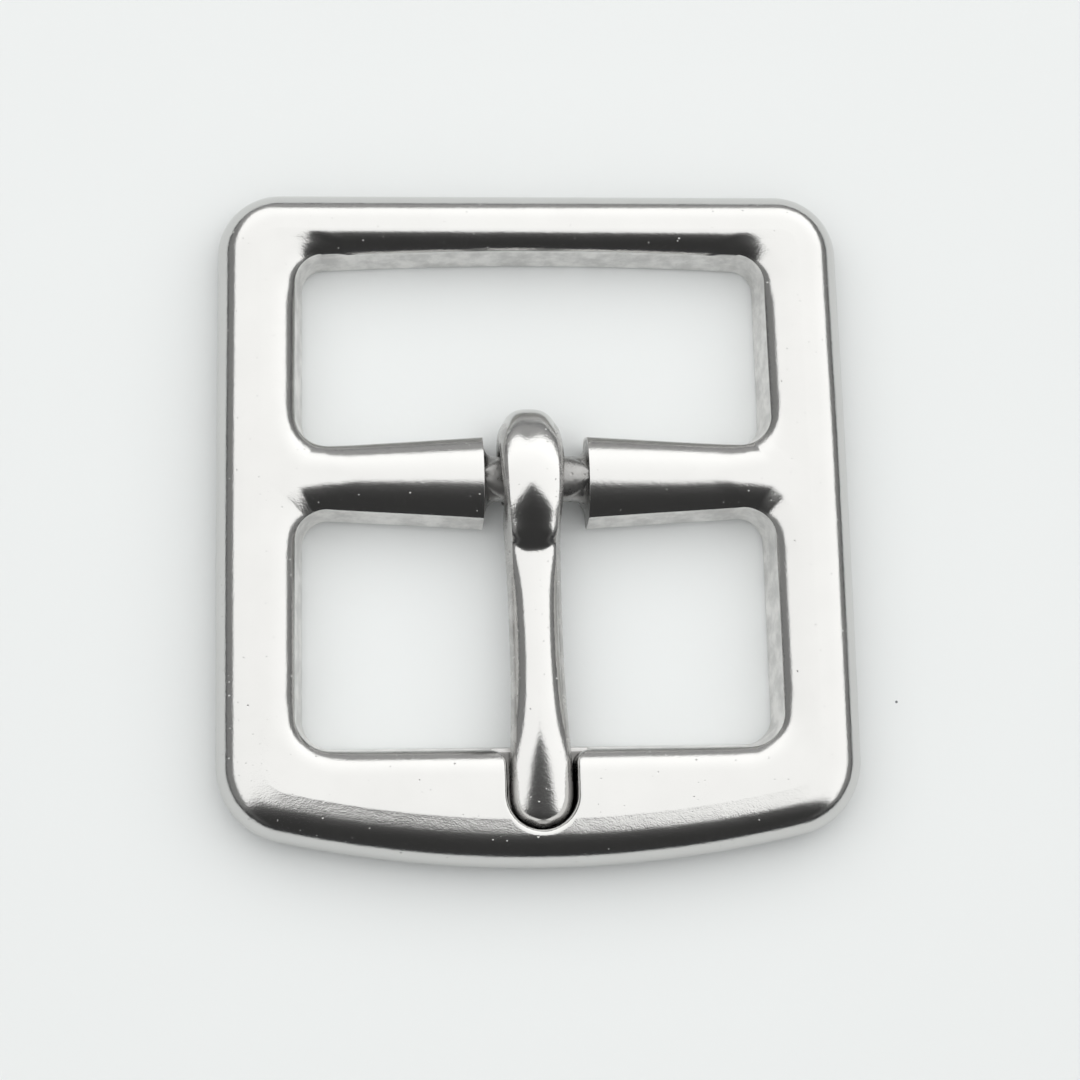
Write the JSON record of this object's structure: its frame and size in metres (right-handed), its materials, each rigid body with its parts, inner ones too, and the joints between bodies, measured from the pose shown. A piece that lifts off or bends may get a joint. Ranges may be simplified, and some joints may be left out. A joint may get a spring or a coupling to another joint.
{
  "type": "belt buckle",
  "caption": "Cast metal centre-bar belt buckle: a rounded rectangular frame with a bowed tongue rail, an integral waisted centre bar, and a swinging tongue that rests in a seat.",
  "frame": {"origin": "under the middle of the buckle's outline, on the plane of its flat back", "axes": "+X along the centre bar, +Y from the bar to the heel rail (the tongue points to -Y), +Z out of the front face"},
  "size_m": [0.053, 0.0568, 0.0072],
  "materials": {
    "frame_steel": "mirror-polished cast stainless steel on the front, finely ground back, grey as-cast walls inside the openings",
    "tongue_steel": "mirror-polished cast stainless steel with grey as-cast flanks"
  },
  "bodies": {
    "frame": {"buckle_frame": "frame_steel"},
    "tongue": {"tongue": "tongue_steel"}
  },
  "joints": [
    {"name": "tongue_hinge", "type": "hinge", "parent": "frame", "child": "tongue", "pos_m": [0, 0.00374, 0.0031], "axis": [-1, 0, 0], "range_deg": [0, 169]}
  ]
}
